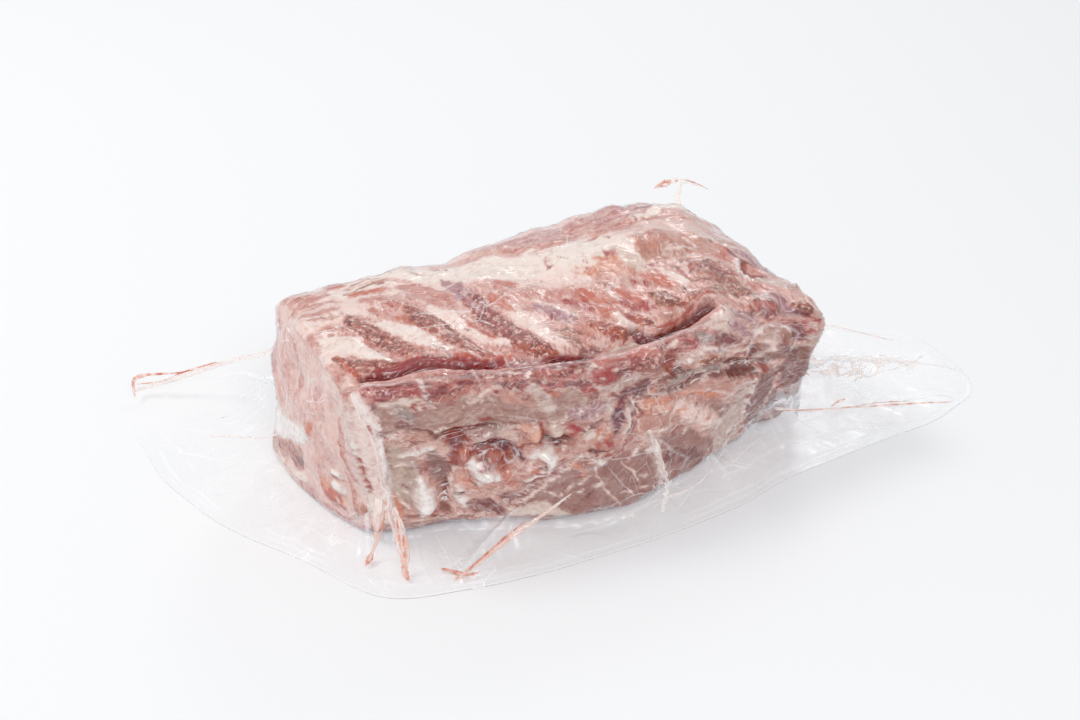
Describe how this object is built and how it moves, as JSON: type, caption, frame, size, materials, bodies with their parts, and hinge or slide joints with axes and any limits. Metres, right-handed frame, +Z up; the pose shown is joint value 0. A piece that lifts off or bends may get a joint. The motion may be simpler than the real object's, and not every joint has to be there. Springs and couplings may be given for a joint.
{
  "type": "vacuum pack of bone-in pork collar",
  "caption": "Sawn block of bone-in pork collar, ribs and backbone showing, shrunk into a clear flat plastic bag with a wide sealed margin.",
  "frame": {"origin": "on the flat underside, under the middle of the block of meat", "axes": "+X along the block from its square sawn end to its tapered end, -Y towards the side with the backbone, +Z up"},
  "size_m": [0.4146, 0.2367, 0.0946],
  "materials": {
    "packed_meat": "raw meat, fat and sawn bone seen through clear glossy film",
    "clear_film": "clear glossy plastic film, creased",
    "meat_juice": "thin orange-red juice caught in the creases of the film"
  },
  "bodies": {
    "root": {"vacuum_pack": "packed_meat"}
  },
  "joints": []
}
